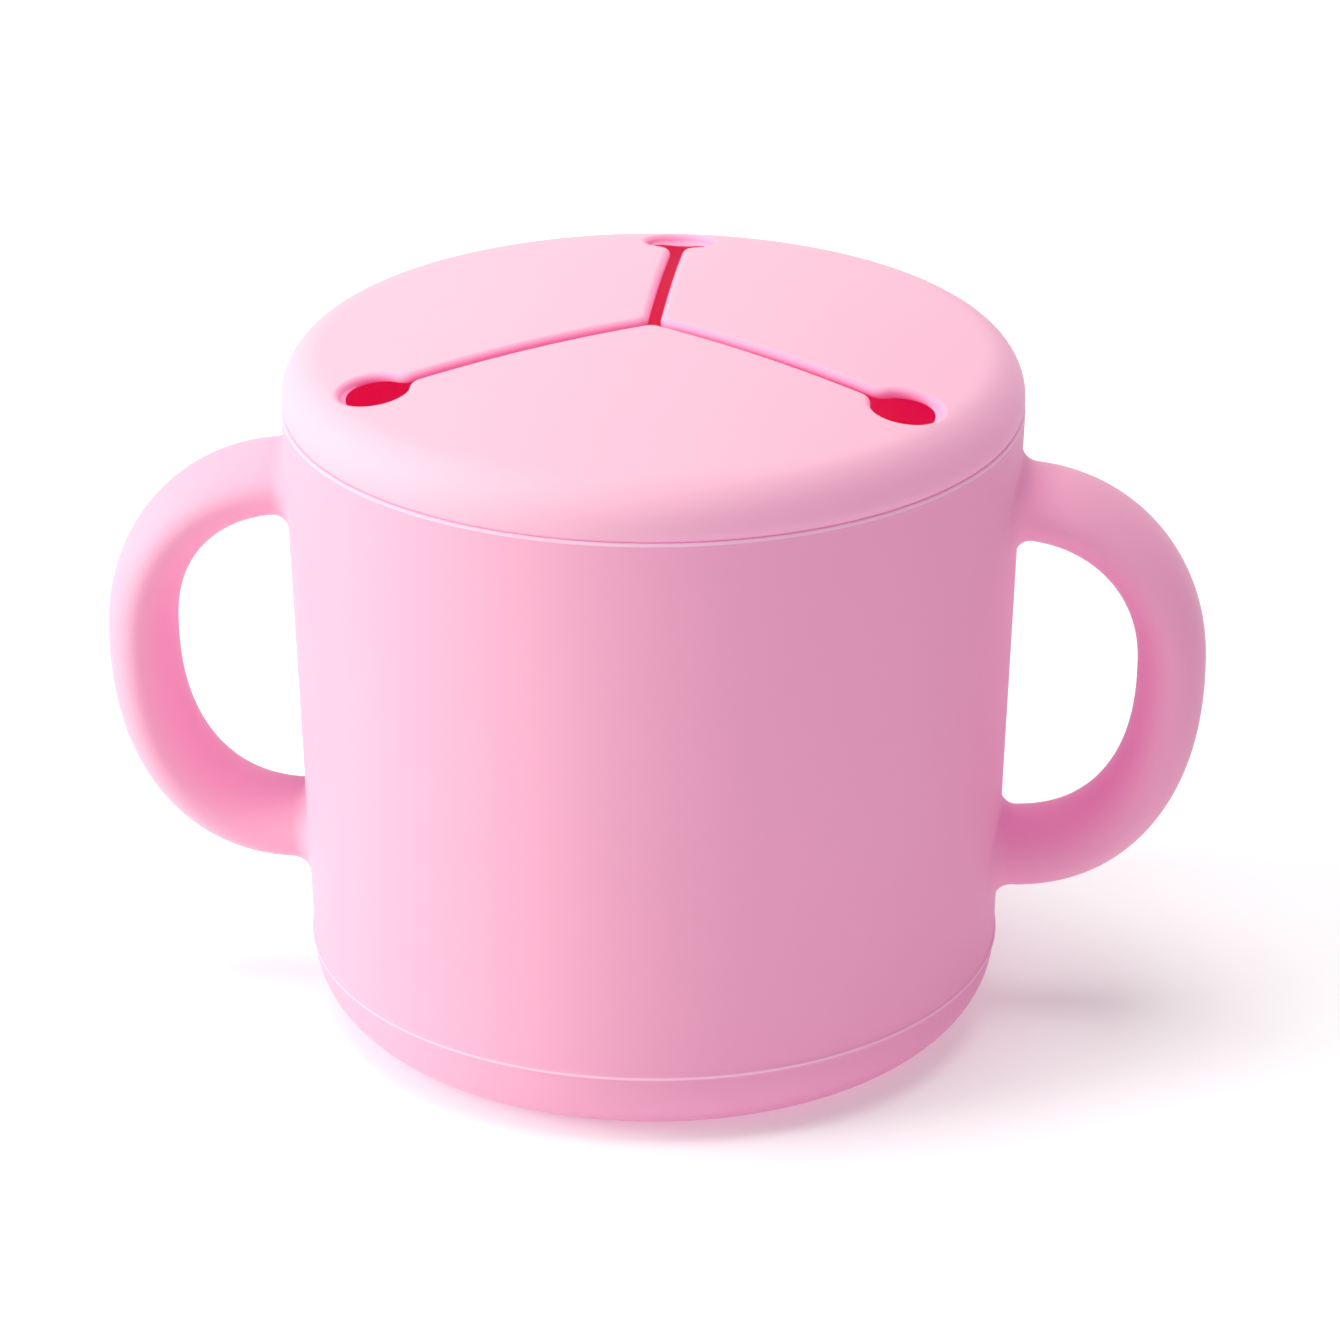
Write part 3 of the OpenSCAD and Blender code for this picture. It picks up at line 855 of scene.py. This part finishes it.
def soft_lamp(name, place, target, size, power):
    """A square soft box that faces a point."""
    data = bpy.data.lights.new(name, "AREA")
    data.size = size
    data.energy = power
    lamp = bpy.data.objects.new(name, data)
    scene.collection.objects.link(lamp)
    lamp.location = place
    lamp.rotation_mode = "QUATERNION"
    lamp.rotation_quaternion = (Vector(target) - Vector(place)).to_track_quat("-Z", "Y")


white_floor()
middle = Vector((0, 0, CUP_H * MM / 2))
soft_lamp("side light", (-1.27, -0.27, 0.25), middle, 0.7, 11.6)
soft_lamp("high side light", (-1.1, -0.28, 0.75), middle, 0.8, 8.3)
soft_lamp("top light", (-0.1, 0.0, 1.3), middle, 0.9, 12.5)
soft_lamp("back light", (0.15, 1.25, 0.55), middle, 1.1, 4.0)
soft_lamp("front light", (0.25, -1.25, 0.45), middle, 0.9, 1.3)

# The camera stands where the photograph's outlines put it, a little to the left of the front
FOCAL = 5485.449 / 1340
DISTANCE = 649.407
ELEVATION = 24.385
AIM_Z = 40.0
PITCH, YAW, ROLL = 0.136, 0.185, -0.038
AZIMUTH = 5.4


def photograph_camera():
    data = bpy.data.cameras.new("camera")
    data.sensor_width = 36.0
    data.lens = FOCAL * data.sensor_width
    camera = bpy.data.objects.new("camera", data)
    scene.collection.objects.link(camera)
    scene.camera = camera
    up_angle, tilt, swing, roll = radians(ELEVATION), radians(PITCH - ELEVATION), radians(YAW), radians(ROLL)
    place = Vector((0, -DISTANCE * cos(up_angle), AIM_Z + DISTANCE * sin(up_angle))) * MM
    ahead = Vector((sin(swing) * cos(tilt), cos(swing) * cos(tilt), sin(tilt)))
    right = ahead.cross(Vector((0, 0, 1))).normalized()
    up = right.cross(ahead)
    right, up = right * cos(roll) + up * sin(roll), up * cos(roll) - right * sin(roll)
    pose = Matrix.Identity(4)
    for column, axis in enumerate((right, up, -ahead)):
        for row in range(3):
            pose[row][column] = axis[row]
    pose.translation = place
    camera.matrix_world = Matrix.Rotation(radians(AZIMUTH), 4, "Z") @ pose


photograph_camera()
